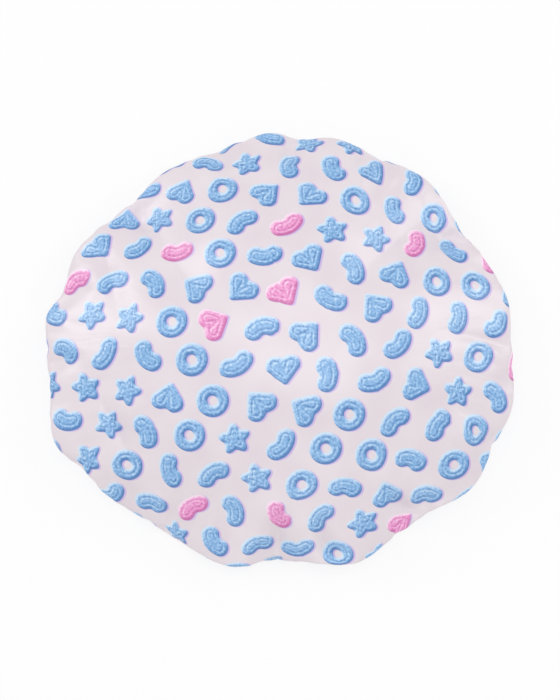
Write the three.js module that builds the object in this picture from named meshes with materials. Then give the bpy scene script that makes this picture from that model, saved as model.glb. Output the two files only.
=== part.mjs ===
// Shower cap lying mouth down. A printed shell and a waterproof lining, each cut as one disc,
// are gathered at the mouth onto an elastic band that runs in a stitched casing.
// Millimetres, +Z up. The origin lies on the surface under the cap, below the middle of its outline.
import * as THREE from "three";

// Outline and height of the cap as it lies
const rimWidth = 292; // rim oval, side to side, before its lobes and tucks
const rimDepth = 274; // rim oval, front to back
const rimHeight = 14; // widest line of the cap above the surface
const rimSideLift = 4; // the rim is this much higher at the sides and lower at front and back
const crownHeight = 62; // top of the crown above the surface
const rollDepth = 12; // how far in the rim rolls under before it lies flat
const undersideClearance = 1.2; // gap under the pleats beside the rolled rim

// Mouth, casing and gathers
const mouthDiameter = 135; // relaxed mouth, edge to edge
const pleatCount = 22; // gathers round the mouth
const pleatDepth = 7; // gathers at their deepest, on the underside
const puckerDepth = 3.5; // gathers where the casing holds them
const tuckFold = 0.6; // depth of a crown fold for each millimetre that its tuck draws in
const longFoldDepth = 6; // the two long folds that handling left in the crown
const longFoldWidth = 10; // from such a fold's bottom to where it is a third as deep

// Cloth, elastic and thread
const shellThickness = 0.5;
const liningThickness = 0.4;
const layerGap = 0.3; // clearance between pieces that lie on each other
const elasticWidth = 6;
const elasticThickness = 1;
const elasticLap = 14; // overlap of the elastic's two sewn ends
const elasticClimb = 16; // stretch in which the upper end climbs onto the lower one
const climbClearance = 1; // the climb is done this far before the lower end
const casingEase = 3; // room in the casing on each side of the elastic
const threadDiameter = 0.5;
const edgeStitchInset = 2.5; // edge stitch row to the mouth edge
const lapStitchMargin = 1; // zigzag to the elastic's edges
const lapStitchEndMargin = 3; // zigzag to the elastic's lapped ends
const lapStitchTurns = 6;

// Lobes and tucks of the rim, counter-clockwise from +X: angle in degrees, then how far the rim
// stands out of the plain oval (positive) or is drawn in by a gather (negative).
const rimShape = [
  [1, 0],
  [11, 1.5],
  [33, -5],
  [49, 1.5],
  [63, -0.5],
  [72, 1.5],
  [85, -1],
  [91, 0.5],
  [110, -5.5],
  [121, -6.5],
  [136, -10],
  [155, -4],
  [164, -5],
  [172, 1],
  [184, -2],
  [205, 7],
  [215, -0.5],
  [236, -4.5],
  [259, 2],
  [270, -4],
  [290, 4.5],
  [307, -2],
  [325, 6.5],
  [335, 3.5],
  [344, 5.5],
];

// The long folds: the angle where each meets the rim, then where it ends inside the crown,
// as an angle and a share of the way from the middle to the rim.
const longFolds = [
  { rimAngle: 132, endAngle: 153, endShare: 0.43 },
  { rimAngle: 45, endAngle: 30, endShare: 0.4 },
];

const stepsPerPleat = 4; // two steps in the trough and two on the crest
const around = pleatCount * stepsPerPleat;
const crownPower = 2; // fullness of the crown: higher is flatter in the middle
const crownSoftness = 0.95; // lower turns the shoulder down later
const crownRings = [0.16, 0.36, 0.54, 0.7, 0.84, 0.96]; // shares of the way from the middle to the rim
const rollAngles = [35, 65, 90]; // degrees round the rolled rim
const pleatRings = [0.35, 0.7]; // shares of the way from the roll to the casing

const mouthRadius = mouthDiameter / 2;
const casingWidth = elasticWidth + 2 * casingEase; // mouth edge to the casing's stitch row
const stitchRadius = mouthRadius + casingWidth;
const elasticRadius = mouthRadius + casingWidth / 2;

// Levels inside the casing, from the surface up
const elasticFloor = puckerDepth + shellThickness + layerGap;
const lapFloor = elasticFloor + elasticThickness + layerGap;
const lapStitchLevel = lapFloor + elasticThickness + layerGap + threadDiameter / 2;
const liningFloor = lapStitchLevel + threadDiameter / 2 + layerGap;

const ease = (t) => t * t * (3 - 2 * t);
const mix = (a, b, t) => a + (b - a) * t;
const angleOf = (step) => (step / around) * 2 * Math.PI;
const troughOrCrest = (step) => (step % stepsPerPleat < stepsPerPleat / 2 ? 0 : 1);

const polar = (radius, angle, height) =>
  new THREE.Vector3(radius * Math.cos(angle), radius * Math.sin(angle), height);

// How far the rim stands out of the oval at an angle, eased from each point of rimShape to the next.
function rimOffset(angle) {
  const degrees = THREE.MathUtils.euclideanModulo(THREE.MathUtils.radToDeg(angle), 360);
  const next = rimShape.findIndex(([at]) => at > degrees);
  const [toAngle, to] = rimShape[next < 0 ? 0 : next];
  const [fromAngle, from] = rimShape.at((next < 0 ? 0 : next) - 1);
  const span = THREE.MathUtils.euclideanModulo(toAngle - fromAngle, 360);
  const gone = THREE.MathUtils.euclideanModulo(degrees - fromAngle, 360);
  return mix(from, to, ease(gone / span));
}

function rimRadius(angle) {
  const across = (rimDepth / 2) * Math.cos(angle);
  const along = (rimWidth / 2) * Math.sin(angle);
  return ((rimWidth / 2) * (rimDepth / 2)) / Math.hypot(across, along) + rimOffset(angle);
}

const rimLevel = (angle) => rimHeight + rimSideLift * Math.cos(2 * angle);

// A ring of the crown: the domed top, with a soft fold running in from each tuck of the rim.
// A fold is deepest four fifths of the way out and fades to nothing at the middle and the rim.
const deepestReach = 4 / 27;
const foldFadeIn = 0.25; // shares of a long fold's length in which it grows and fades
const foldFadeOut = 0.7;

function crownRing(share) {
  return (angle) => {
    const level = rimLevel(angle);
    const dome = (1 - share ** crownPower) ** crownSoftness;
    const reach = (share ** 4 * (1 - share ** 2)) / deepestReach;
    const fold = tuckFold * Math.max(0, -rimOffset(angle)) * reach;
    const point = polar(share * rimRadius(angle), angle, mix(level, crownHeight, dome) - fold);
    point.z -= longFoldAt(point);
    return point;
  };
}

// How deep the long folds are at a point of the crown: each fades out at the rim and at its inner end.
function longFoldAt(point) {
  const depths = longFolds.map(({ rimAngle, endAngle, endShare }) => {
    const [outerTurn, innerTurn] = [rimAngle, endAngle].map(THREE.MathUtils.degToRad);
    const start = polar(rimRadius(outerTurn), outerTurn, 0);
    const end = polar(endShare * rimRadius(innerTurn), innerTurn, 0);
    const run = end.clone().sub(start);
    const offset = point.clone().setZ(0).sub(start);
    const along = THREE.MathUtils.clamp(offset.dot(run) / run.lengthSq(), 0, 1);
    const apart = offset.addScaledVector(run, -along).length();
    const fade = ease(Math.min(along / foldFadeIn, 1)) * ease(Math.min((1 - along) / foldFadeOut, 1));
    return longFoldDepth * Math.exp(-((apart / longFoldWidth) ** 2)) * fade;
  });
  return Math.max(...depths);
}

// A ring of the rolled rim, from its widest line round to the underside.
function rollRing(degrees) {
  const turn = THREE.MathUtils.degToRad(degrees);
  return (angle) =>
    polar(
      rimRadius(angle) - rollDepth * (1 - Math.cos(turn)),
      angle,
      mix(rimLevel(angle), undersideClearance, Math.sin(turn)),
    );
}

// A ring of the gathered underside, between the roll and the casing's stitch row.
function pleatRing(share) {
  return (angle, step) => {
    const radius = mix(rimRadius(angle) - rollDepth, stitchRadius, share);
    const depth = pleatDepth * Math.sin(Math.PI * share) + puckerDepth * share;
    return polar(radius, angle, undersideClearance * (1 - share) + depth * troughOrCrest(step));
  };
}

// A ring of the casing, puckered above the given level.
function casingRing(radius, level) {
  return (angle, step) => polar(radius, angle, level + puckerDepth * troughOrCrest(step));
}

const ringsOf = (makers) =>
  makers.map((make) => Array.from({ length: around }, (_, step) => make(angleOf(step), step)));

// One face of the cloth: the middle of the crown, then rings out over the rim and in to the mouth.
const clothMakers = [
  ...crownRings.map(crownRing),
  ...[0, ...rollAngles].map(rollRing),
  ...pleatRings.map(pleatRing),
  pleatRing(1),
];
const middle = new THREE.Vector3(0, 0, crownHeight);

function faceTriangles(ringCount, start) {
  const at = (ring, step) => start + 1 + ring * around + (step % around);
  const triangles = [];
  for (let step = 0; step < around; step++) {
    triangles.push([start, at(0, step), at(0, step + 1)]);
    for (let ring = 0; ring + 1 < ringCount; ring++) {
      const [a, b] = [at(ring, step), at(ring + 1, step)];
      const [c, d] = [at(ring + 1, step + 1), at(ring, step + 1)];
      triangles.push([a, b, c], [a, c, d]);
    }
  }
  return triangles;
}

// The face moved inwards by a distance, each point along a mitre so that the wall stays even.
const sharpestMitre = 0.6;

function inset(face, distance) {
  const points = [face.middle, ...face.rings.flat()];
  const normals = points.map(() => []);
  for (const corners of faceTriangles(face.rings.length, 0)) {
    const [a, b, c] = corners.map((i) => points[i]);
    const normal = b.clone().sub(a).cross(c.clone().sub(a)).normalize();
    corners.forEach((i) => normals[i].push(normal));
  }
  const moved = points.map((point, i) => {
    const mean = normals[i].reduce((sum, n) => sum.add(n), new THREE.Vector3()).normalize();
    const least = Math.min(...normals[i].map((n) => n.dot(mean)));
    return point.clone().addScaledVector(mean, -distance / Math.max(least, sharpestMitre));
  });
  const rings = face.rings.map((_, ring) =>
    moved.slice(1 + ring * around, 1 + (ring + 1) * around),
  );
  return { middle: moved[0], rings };
}

function geometryOf(points, triangles) {
  const geometry = new THREE.BufferGeometry().setFromPoints(points);
  geometry.setIndex(triangles.flat());
  geometry.computeVertexNormals();
  return geometry;
}

// A closed wall of cloth between an outer and an inner face, joined at the mouth.
function clothWall(outer, inner) {
  const count = outer.rings.length;
  const points = [outer.middle, ...outer.rings.flat(), inner.middle, ...inner.rings.flat()];
  const innerStart = 1 + count * around;
  const triangles = [
    ...faceTriangles(count, 0),
    ...faceTriangles(count, innerStart).map(([a, b, c]) => [a, c, b]),
  ];
  const lastOuter = innerStart - around;
  const lastInner = innerStart + lastOuter;
  for (let step = 0; step < around; step++) {
    const next = (step + 1) % around;
    const [a, b] = [lastOuter + step, lastInner + step];
    const [c, d] = [lastInner + next, lastOuter + next];
    triangles.push([a, b, c], [a, c, d]);
  }
  return geometryOf(points, triangles);
}

// A solid swept through a row of equal sections, closed into a loop or capped at its two ends.
function sweep(sections, isLoop) {
  const sides = sections[0].length;
  const at = (section, side) => (section % sections.length) * sides + (side % sides);
  const triangles = [];
  for (let section = 0; section < sections.length - (isLoop ? 0 : 1); section++) {
    for (let side = 0; side < sides; side++) {
      const [a, b] = [at(section, side), at(section, side + 1)];
      const [c, d] = [at(section + 1, side + 1), at(section + 1, side)];
      triangles.push([a, b, c], [a, c, d]);
    }
  }
  if (!isLoop) {
    const last = sections.length - 1;
    for (let side = 1; side + 1 < sides; side++) {
      triangles.push([at(0, 0), at(0, side + 1), at(0, side)]);
      triangles.push([at(last, 0), at(last, side), at(last, side + 1)]);
    }
  }
  return geometryOf(sections.flat(), triangles);
}

const threadSides = 5;

// One section of thread round a point, square to the direction it runs in.
function threadSection(point, direction) {
  const across = new THREE.Vector3(0, 0, 1).cross(direction).normalize();
  const up = direction.clone().cross(across).normalize();
  return Array.from({ length: threadSides }, (_, side) => {
    const turn = (side / threadSides) * 2 * Math.PI;
    return point
      .clone()
      .addScaledVector(across, (threadDiameter / 2) * Math.cos(turn))
      .addScaledVector(up, (threadDiameter / 2) * Math.sin(turn));
  });
}

// A row of stitching as one thread that lies on the given ring of points.
function stitchRow(ring) {
  const sections = ring.map((point, step) => {
    const before = ring.at(step - 1);
    const after = ring[(step + 1) % around];
    return threadSection(point, after.clone().sub(before).normalize());
  });
  return sweep(sections, true);
}

// The cloth that both layers follow, from the crown to the casing's stitch row
const outside = { middle, rings: ringsOf(clothMakers) };

function shellGeometry() {
  const lipTop = liningFloor - layerGap;
  const casing = ringsOf([
    casingRing(mouthRadius, 0),
    (angle) => polar(mouthRadius, angle, lipTop),
  ]);
  const outer = { middle, rings: [...outside.rings, ...casing] };
  return clothWall(outer, inset(outer, shellThickness));
}

// The lining's outer face follows the shell up to the stitch row, then rises over the elastic.
function liningFace() {
  const laid = inset(outside, shellThickness + layerGap);
  const rise = 0.6 * casingEase;
  const casing = ringsOf([
    casingRing(stitchRadius - rise, liningFloor),
    casingRing(mouthRadius + edgeStitchInset, liningFloor),
    casingRing(mouthRadius + shellThickness, liningFloor),
  ]);
  return { middle: laid.middle, rings: [...laid.rings, ...casing] };
}

const liningOuter = liningFace();
const liningInner = inset(liningOuter, liningThickness);
const onLining = inset(liningOuter, liningThickness + layerGap + threadDiameter / 2);
const casingStitchRing = clothMakers.length - 1;
const edgeStitchRing = clothMakers.length + 1;

// The elastic: a flat strip run once round the mouth, its upper end climbing onto the lower one.
function elasticGeometry() {
  const lapAngle = elasticLap / elasticRadius;
  const climbAngle = elasticClimb / elasticRadius;
  const fullTurn = 2 * Math.PI;
  const climbEnd = fullTurn - climbClearance / elasticRadius;
  const climbStart = climbEnd - climbAngle;
  const angles = [
    ...Array.from({ length: around }, (_, step) => mix(0, climbStart, step / around)),
    climbStart,
    mix(climbStart, climbEnd, 0.5),
    climbEnd,
    mix(climbEnd, fullTurn + lapAngle, 0.5),
    fullTurn + lapAngle,
  ];
  const sections = angles.map((angle) => {
    const climbed = THREE.MathUtils.clamp((angle - climbStart) / climbAngle, 0, 1);
    const floor = mix(elasticFloor, lapFloor, climbed);
    const [near, far] = [elasticRadius - elasticWidth / 2, elasticRadius + elasticWidth / 2];
    const top = floor + elasticThickness;
    return [
      polar(near, angle, floor),
      polar(near, angle, top),
      polar(far, angle, top),
      polar(far, angle, floor),
    ];
  });
  return sweep(sections, false);
}

// The zigzag of thread over the elastic's lapped ends.
function lapStitchGeometry() {
  const lapMiddle = elasticLap / 2 / elasticRadius;
  const length = elasticLap - 2 * lapStitchEndMargin;
  const width = elasticWidth - 2 * lapStitchMargin;
  const points = Array.from({ length: lapStitchTurns + 1 }, (_, turn) => {
    const along = (turn / lapStitchTurns - 0.5) * (length / elasticRadius);
    const side = turn % 2 ? 0.5 : -0.5;
    return polar(elasticRadius + side * width, lapMiddle + along, lapStitchLevel);
  });
  const sections = points.map((point, i) => {
    const before = points[Math.max(i - 1, 0)];
    const after = points[Math.min(i + 1, points.length - 1)];
    return threadSection(point, after.clone().sub(before).normalize());
  });
  return sweep(sections, false);
}

const printedSatin = new THREE.MeshStandardMaterial({ color: 0xe9dfe5, roughness: 0.5 });
const liningFilm = new THREE.MeshStandardMaterial({ color: 0xf1eef1, roughness: 0.35 });
const knitElastic = new THREE.MeshStandardMaterial({ color: 0xf4f2ee, roughness: 0.85 });
const sewingThread = new THREE.MeshStandardMaterial({ color: 0xeee6ea, roughness: 0.7 });

const cap = new THREE.Group();

function addPiece(name, geometry, material) {
  const mesh = new THREE.Mesh(geometry, material);
  mesh.name = name;
  cap.add(mesh);
}

addPiece("outer_shell", shellGeometry(), printedSatin);
addPiece("waterproof_lining", clothWall(liningOuter, liningInner), liningFilm);
addPiece("elastic_band", elasticGeometry(), knitElastic);
addPiece("elastic_lap_stitch", lapStitchGeometry(), sewingThread);
addPiece("casing_stitch_row", stitchRow(onLining.rings[casingStitchRing]), sewingThread);
addPiece("edge_stitch_row", stitchRow(onLining.rings[edgeStitchRing]), sewingThread);

// Centre the outline over the origin
const box = new THREE.Box3().setFromObject(cap);
cap.position.set(-(box.min.x + box.max.x) / 2, -(box.min.y + box.max.y) / 2, -box.min.z);

export default cap;
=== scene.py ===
# Shower cap lying mouth down: a printed satin shell, a film lining, an elastic and its stitching.
import math
from functools import partial
import bpy
import numpy as np
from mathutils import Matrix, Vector
from mathutils.bvhtree import BVHTree


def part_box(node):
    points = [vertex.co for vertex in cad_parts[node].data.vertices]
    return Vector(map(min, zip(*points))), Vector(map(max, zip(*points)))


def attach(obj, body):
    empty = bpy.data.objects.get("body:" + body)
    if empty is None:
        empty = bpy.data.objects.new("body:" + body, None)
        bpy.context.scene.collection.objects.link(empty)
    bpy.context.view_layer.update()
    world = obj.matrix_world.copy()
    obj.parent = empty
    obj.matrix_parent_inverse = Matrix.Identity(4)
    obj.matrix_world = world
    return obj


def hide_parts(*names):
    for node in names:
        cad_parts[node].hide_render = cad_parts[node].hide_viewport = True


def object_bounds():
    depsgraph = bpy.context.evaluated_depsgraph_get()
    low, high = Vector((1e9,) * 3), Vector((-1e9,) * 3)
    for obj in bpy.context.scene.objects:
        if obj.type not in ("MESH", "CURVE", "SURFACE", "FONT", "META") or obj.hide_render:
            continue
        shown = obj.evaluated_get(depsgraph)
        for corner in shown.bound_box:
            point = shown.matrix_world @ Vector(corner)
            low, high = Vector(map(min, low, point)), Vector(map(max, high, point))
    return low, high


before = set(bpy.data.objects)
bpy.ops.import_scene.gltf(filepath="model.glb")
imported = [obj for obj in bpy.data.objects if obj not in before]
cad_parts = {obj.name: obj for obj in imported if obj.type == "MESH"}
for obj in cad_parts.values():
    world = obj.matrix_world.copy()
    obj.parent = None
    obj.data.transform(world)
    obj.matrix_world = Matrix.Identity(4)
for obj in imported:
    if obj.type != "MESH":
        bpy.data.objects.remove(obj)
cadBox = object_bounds()
scene = bpy.context.scene
scene.view_settings.view_transform = "Standard"
mm = 0.001


# sRGB hex to the linear colour that shaders take
def linear(hexColour):
    parts = [int(hexColour[i:i + 2], 16) / 255 for i in (1, 3, 5)]
    return [c / 12.92 if c <= 0.04045 else ((c + 0.055) / 1.055) ** 2.4 for c in parts] + [1.0]


# adds a node: its inputs are plain values, or the nodes and sockets that feed them
def addNode(tree, kind, inputs=None, **settings):
    node = tree.nodes.new("ShaderNode" + kind)
    for name, value in settings.items():
        setattr(node, name, value)
    for name, source in (inputs or {}).items():
        socket = node.inputs[name] if isinstance(name, int) else \
            next(s for s in node.inputs if s.enabled and s.name == name)
        if isinstance(source, bpy.types.Node):
            source = next(s for s in source.outputs if s.enabled)
        if isinstance(source, bpy.types.NodeSocket):
            tree.links.new(source, socket)
        else:
            socket.default_value = source
    return node


def newMaterial(name):
    material = bpy.data.materials.new(name)
    material.use_nodes = True
    material.node_tree.nodes.clear()
    return material, material.node_tree


def squareFloor(name, half):
    mesh = bpy.data.meshes.new(name)
    corners = [(-half, -half, 0), (half, -half, 0), (half, half, 0), (-half, half, 0)]
    mesh.from_pydata(corners, [], [(0, 1, 2, 3)])
    return bpy.data.objects.new(name, mesh)


# all values of one property of a mesh's points, corners or attribute, a row for each
def readAll(items, name, width=3, kind=float):
    values = np.empty(len(items) * width, kind)
    items.foreach_get(name, values)
    return values.reshape(-1, width)


def turnBetween(angle, other):
    return np.abs((angle - other + np.pi) % (2 * np.pi) - np.pi)


def smoothRise(value, low, high):
    t = np.clip((value - low) / (high - low), 0, 1)
    return t * t * (3 - 2 * t)


# Camera: nearly straight above the cap, a little towards its front
view = {
    "elevation": 84,  # degrees above the floor
    "distance": 1.15,
    "aim": (0.0005, -0.0025, 0.022),
    "widthSeen": 0.347,  # metres across the picture at the aim
    "sensor": 36,
}


def placeCamera():
    tilt = math.radians(view["elevation"])
    away = Vector((0, -math.cos(tilt), math.sin(tilt)))
    data = bpy.data.cameras.new("camera")
    data.sensor_fit = "HORIZONTAL"
    data.sensor_width = view["sensor"]
    data.lens = view["sensor"] * view["distance"] / view["widthSeen"]
    camera = bpy.data.objects.new("camera", data)
    camera.location = Vector(view["aim"]) + away * view["distance"]
    camera.rotation_euler = away.to_track_quat("Z", "Y").to_euler()
    scene.collection.objects.link(camera)
    scene.camera = camera
    print("camera: lens", round(data.lens, 1))


placeCamera()

# What the frame gives: the centre of the mouth, its stitch row, the elastic and the rim's outline
rowLow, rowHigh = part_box("casing_stitch_row")
elasticLow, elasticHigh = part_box("elastic_band")
centre = np.array([(rowLow.x + rowHigh.x) / 2, (rowLow.y + rowHigh.y) / 2])
crownTop = cadBox[1][2]
rimSearch = {"outer": 0.8, "within": 2}  # share of the greatest radius, and degrees to each side


def measureRim():
    points = readAll(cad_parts["outer_shell"].data.vertices, "co")
    offset = points[:, :2] - centre
    radius = np.hypot(offset[:, 0], offset[:, 1])
    angle = np.arctan2(offset[:, 1], offset[:, 0]) % (2 * np.pi)
    outer = np.flatnonzero(radius > rimSearch["outer"] * radius.max())
    apart = turnBetween(angle[outer, None], angle[outer])
    widest = np.where(apart < math.radians(rimSearch["within"]), radius[outer], 0).max(axis=1)
    rim = outer[radius[outer] >= widest]
    rim = rim[np.argsort(angle[rim])]
    underside = points[:, 2] < elasticHigh.z
    return angle[rim], radius[rim], points[rim, 2], radius[underside].min()


rimAngle, rimRadius, rimLevel, mouthRadius = measureRim()
rowRadius = (rowHigh.x - rowLow.x) / 2
print("rim", len(rimAngle), "points, mouth radius", round(mouthRadius / mm, 1), "mm")


def around(angle, values):
    return np.interp(angle, rimAngle, values, period=2 * np.pi)


# The cut: one flat disc of cloth, in rings that each hold six more points than the last.
# Each ring is turned a little from the one inside it, so that no line of points invites a fold.
cut = {
    "toRow": 226 * mm,  # middle of the disc to the casing's stitch row
    "casing": 14 * mm,  # stitch row to the mouth's edge
    "rings": 60,  # up to the row, 3.8 mm of cloth each
    "casingRings": 8,
    "ringTurn": 0.618,  # of a point's spacing
}
discRadius = cut["toRow"] + cut["casing"]
insideRow = cut["toRow"] - 0.001 * mm  # nearer to the middle than this, the cloth is free of the row


def layRings():
    ring = np.concatenate([np.full(6 * k, k) for k in range(1, cut["rings"] + 1)])
    place = np.concatenate([np.arange(6 * k) for k in range(1, cut["rings"] + 1)])
    angle = 2 * np.pi * (place + ring * cut["ringTurn"] % 1) / (6 * ring)
    fromMiddle = ring / cut["rings"] * cut["toRow"]
    triangles = [(0, 1 + j, 1 + (j + 1) % 6) for j in range(6)]
    for k in range(1, cut["rings"]):
        inner, outer = 1 + 3 * k * (k - 1), 1 + 3 * k * (k + 1)
        countIn, countOut = 6 * k, 6 * (k + 1)
        i = j = 0
        while i < countIn or j < countOut:
            nextIn = (i + 1 + k * cut["ringTurn"] % 1) / countIn
            nextOut = (j + 1 + (k + 1) * cut["ringTurn"] % 1) / countOut
            a, b = inner + i % countIn, outer + j % countOut
            if j < countOut and (i >= countIn or nextOut <= nextIn):
                j += 1
                triangles.append((a, b, outer + j % countOut))
            else:
                i += 1
                triangles.append((a, b, inner + i % countIn))
    return np.append(0, fromMiddle), np.append(0, angle), triangles


# How the cloth lies before it settles: a low dome, a rolled rim and a gathered underside
lie = {
    "fullness": 2.0,  # higher is flatter in the middle of the crown
    "shoulder": 0.95,  # lower turns the shoulder down later
    "roll": 12 * mm,  # how far in the rim rolls under
    "clearance": 1.2 * mm,  # under the cloth beside the roll
    "tuckFold": 0.5,  # depth of a crown fold for each mm its tuck draws the rim in
    "tuckSpan": 61,  # degrees over which the rim is evened out to find its tucks
    "samples": (160, 30, 50),  # points of a side view on the crown, the roll and the underside
    "clothSteps": 240,  # equal steps along the cloth that a side view is then put into
    "unevenness": 0.06 * mm,  # small seeded start for the folds
    "seed": 11,
}
gather = {
    "pleats": 46,  # gathers held by the stitch row
    "spread": 0.4,  # how uneven their widths are
    "rowWave": 1.9 * mm,  # height of a gather above and below the row's level
    "rowBelow": 0.6 * mm,  # row's level under the middle of the elastic's height
    "splitOver": (0.3, 0.8),  # shares of the way from rim to row in which broad folds split into gathers
    "deepest": 6 * mm,  # extra depth of the folds half way to the rim
    "seed": 3,
}
rowLevel = (elasticLow.z + elasticHigh.z) / 2 - gather["rowBelow"]


def unevenWave(angle, count, seed):
    widths = 1 + gather["spread"] * np.random.default_rng(seed).uniform(-1, 1, count)
    edges = np.append(0, np.cumsum(widths)) / widths.sum() * 2 * np.pi
    return np.sin(2 * np.pi * np.interp(angle % (2 * np.pi), edges, np.arange(count + 1)))


# side view of the cap at each degree: radius and height by distance along the cloth
def sections(angles):
    rim, level = around(angles, rimRadius)[:, None], around(angles, rimLevel)[:, None]
    onCrown, onRoll, onUnderside = lie["samples"]
    share = np.linspace(0, 1, onCrown)
    crown = (1 - share ** lie["fullness"]) ** lie["shoulder"]
    turn = np.linspace(0, np.pi / 2, onRoll)[1:]
    inward = np.linspace(0, 1, onUnderside)[1:]
    flatStart = rim - lie["roll"]
    radius = np.hstack([
        share * rim,
        rim - lie["roll"] * (1 - np.cos(turn)),
        flatStart + (rowRadius - flatStart) * inward,
    ])
    climb = rowLevel - gather["rowWave"] - lie["clearance"]
    height = np.hstack([
        level + (crownTop - level) * crown,
        level + (lie["clearance"] - level) * np.sin(turn),
        np.tile(lie["clearance"] + climb * inward ** 3, (len(rim), 1)),
    ])
    along = np.hypot(np.diff(radius), np.diff(height)).cumsum(axis=1)
    along = np.hstack([np.zeros((len(rim), 1)), along])
    toRim = along[:, len(share) - 1]
    under = (along - toRim[:, None]) / (along[:, -1] - toRim)[:, None]
    flatAlong = np.where(under < 0, along, toRim[:, None] + under * (cut["toRow"] - toRim)[:, None])
    steps = np.linspace(0, cut["toRow"], lie["clothSteps"] + 1)
    radii = np.array([np.interp(steps, f, r) for f, r in zip(flatAlong, radius)])
    heights = np.array([np.interp(steps, f, h) for f, h in zip(flatAlong, height)])
    return radii, heights, toRim


def lookUp(table, angle, fromMiddle):
    a = np.degrees(angle) % 360
    s = fromMiddle / cut["toRow"] * lie["clothSteps"]
    i, j = np.minimum(a.astype(int), 359), np.minimum(s.astype(int), lie["clothSteps"] - 1)
    f, g = a - i, s - j
    near = table[i, j] * (1 - g) + table[i, j + 1] * g
    far = table[i + 1, j] * (1 - g) + table[i + 1, j + 1] * g
    return near * (1 - f) + far * f


def poseCloth(fromMiddle, angle):
    degrees = np.radians(np.arange(361))
    radii, heights, rimDistance = sections(degrees)
    radius = lookUp(radii, angle, fromMiddle)
    height = lookUp(heights, angle, fromMiddle)
    toRim = np.interp(angle, degrees, rimDistance)
    # a soft fold runs into the crown from each tuck of the rim
    share = np.minimum(fromMiddle / toRim, 1)
    rim = around(degrees[:-1], rimRadius)
    plain = np.convolve(np.tile(rim, 3), np.ones(lie["tuckSpan"]) / lie["tuckSpan"], "same")[360:720]
    drawnIn = np.maximum(plain - rim, 0)
    reach = share ** 4 * (1 - share ** 2) * 27 / 4  # at its greatest, 1, at 0.82 of the way to the rim
    height -= lie["tuckFold"] * np.interp(angle, degrees[:-1], drawnIn, period=2 * np.pi) * reach
    # gathers of the underside: fine at the row, merging into half as many towards the rim
    under = np.clip((fromMiddle - toRim) / (cut["toRow"] - toRim), 0, 1)
    fine = unevenWave(angle, gather["pleats"], gather["seed"])
    broad = unevenWave(angle, gather["pleats"] // 2, gather["seed"] + 1)
    wave = broad + (fine - broad) * smoothRise(under, *gather["splitOver"])
    depth = gather["rowWave"] * smoothRise(under, 0, 1) + gather["deepest"] / 2 * np.sin(np.pi * under)
    height += depth * (1 + wave)
    points = np.stack([radius * np.cos(angle), radius * np.sin(angle), height], axis=1)
    loose = fromMiddle < insideRow
    points[loose] += np.random.default_rng(lie["seed"]).normal(0, lie["unevenness"], (loose.sum(), 3))
    return points, share


# Settling: Blender's cloth, ten times life size, held at the stitch row and puffed from inside
cloth = {
    "scale": 10,
    "frames": 40,
    "quality": 6,
    "pressure": 1.5,
    "gravity": 0.5,
    "mass": 0.2,
    "stretch": 40,
    "shear": 40 / 3,
    "bend": 0.5,
    "slack": 0.035,  # spare cloth at the rim and underside, which makes the folds
    "slackFrom": 0.55,  # share of the way from the middle to the rim
    "friction": 5,
    "gap": 0.5 * mm,  # kept between the cloth and the floor
    "floorHalf": 4,
}


def settleCloth(points, triangles, share, fromMiddle):
    mesh = bpy.data.meshes.new("clothTrial")
    mesh.from_pydata((points * cloth["scale"]).tolist(), [], triangles)
    trial = bpy.data.objects.new("clothTrial", mesh)
    trialFloor = squareFloor("trialFloor", cloth["floorHalf"])
    for each in (trial, trialFloor):
        scene.collection.objects.link(each)
    trialFloor.modifiers.new("collision", "COLLISION")
    trialFloor.collision.thickness_outer = cloth["gap"] * cloth["scale"]
    trialFloor.collision.cloth_friction = cloth["friction"]
    held = trial.vertex_groups.new(name="held")
    held.add([int(i) for i in np.flatnonzero(fromMiddle > insideRow)], 1, "REPLACE")
    tight = trial.vertex_groups.new(name="tight")
    for i, weight in enumerate(1 - smoothRise(share, cloth["slackFrom"], 1)):
        tight.add([i], float(weight), "REPLACE")
    modifier = trial.modifiers.new("cloth", "CLOTH")
    settings = modifier.settings
    settings.quality = cloth["quality"]
    settings.mass = cloth["mass"]
    settings.tension_stiffness = settings.compression_stiffness = cloth["stretch"]
    settings.shear_stiffness = cloth["shear"]
    settings.bending_stiffness = cloth["bend"]
    settings.vertex_group_mass = "held"
    settings.vertex_group_shrink = "tight"
    settings.shrink_min, settings.shrink_max = -cloth["slack"], 0
    settings.use_pressure = True
    settings.uniform_pressure_force = cloth["pressure"]
    settings.effector_weights.gravity = cloth["gravity"]
    modifier.collision_settings.distance_min = cloth["gap"] * cloth["scale"]
    modifier.point_cache.frame_end = cloth["frames"]
    for step in range(1, cloth["frames"] + 1):
        scene.frame_set(step)
    settled = trial.evaluated_get(bpy.context.evaluated_depsgraph_get()).to_mesh()
    result = readAll(settled.vertices, "co")
    for each in (trial, trialFloor):
        data = each.data
        bpy.data.objects.remove(each)
        bpy.data.meshes.remove(data)
    scene.frame_set(1)
    return result / cloth["scale"]


# Handling folds: what packing and laying down left in the crown, as lines from the rim inwards.
# All in mm; the two widths are those of the slope towards the crown and of the one towards the rim.
folds = [
    {"from": (-92, 100), "to": (-46, 20), "widths": (20, 15), "depth": 11},  # upper left
    {"from": (102, 94), "to": (36, 26), "widths": (17, 28), "depth": 10},  # upper right
    {"from": (-108, 56), "to": (-95, 10), "widths": (8, 8), "depth": 3},
    {"from": (-106, -40), "to": (-90, -72), "widths": (5, 3.5), "depth": 4},
    {"from": (34, -138), "to": (20, -104), "widths": (6, 4.5), "depth": 6},
    {"from": (90, -108), "to": (64, -90), "widths": (6, 4), "depth": 4.5},
    {"from": (-30, 130), "to": (-18, 84), "widths": (8, 7), "depth": 2},
]
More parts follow.
